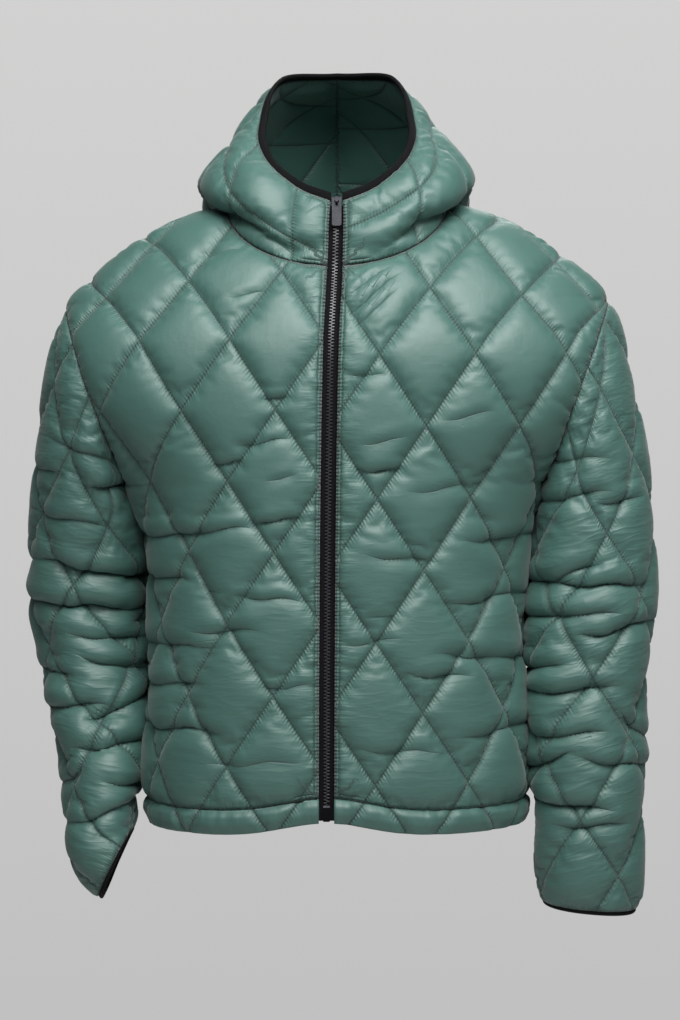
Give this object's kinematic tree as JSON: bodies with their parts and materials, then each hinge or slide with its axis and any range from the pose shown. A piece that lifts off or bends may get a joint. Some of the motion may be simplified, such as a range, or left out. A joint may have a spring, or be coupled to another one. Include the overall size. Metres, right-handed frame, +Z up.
{
  "type": "puffer coat",
  "caption": "Worn hooded puffer coat, diamond-quilted padded cloth with a front zip, hood down, elastic-bound hood edge and cuffs, padded hem band.",
  "frame": {"origin": "middle of the base of the neck, where the wearer's shoulders carry the coat", "axes": "+Z up, -Y the way the wearer faces, +X to the wearer's left"},
  "size_m": [0.6585, 0.395, 0.868],
  "materials": {
    "nylon": "satin sage-green nylon, padded and quilted",
    "elastic": "matt black folded elastic",
    "tape": "matt black woven zip tape",
    "teeth": "satin black moulded plastic",
    "gunmetal": "satin gunmetal plating"
  },
  "bodies": {
    "coat": {"front_left": "nylon", "front_right": "nylon", "back": "nylon", "sleeve_left": "nylon", "sleeve_right": "nylon", "hood_left": "nylon", "hood_right": "nylon", "hem_band": "nylon", "hood_binding": "elastic", "cuff_binding_left": "elastic", "cuff_binding_right": "elastic", "zip_tape_left": "tape", "zip_tape_right": "tape", "zip_chain": "teeth", "zip_slider": "gunmetal", "zip_box": "gunmetal"},
    "pull_tab": {"zip_pull": "gunmetal"}
  },
  "joints": [
    {"name": "pull_swing", "type": "hinge", "parent": "coat", "child": "pull_tab", "pos_m": [-0.0003, -0.0929, 0.02399], "axis": [-1, 0, 0], "range_deg": [0, 160]}
  ]
}
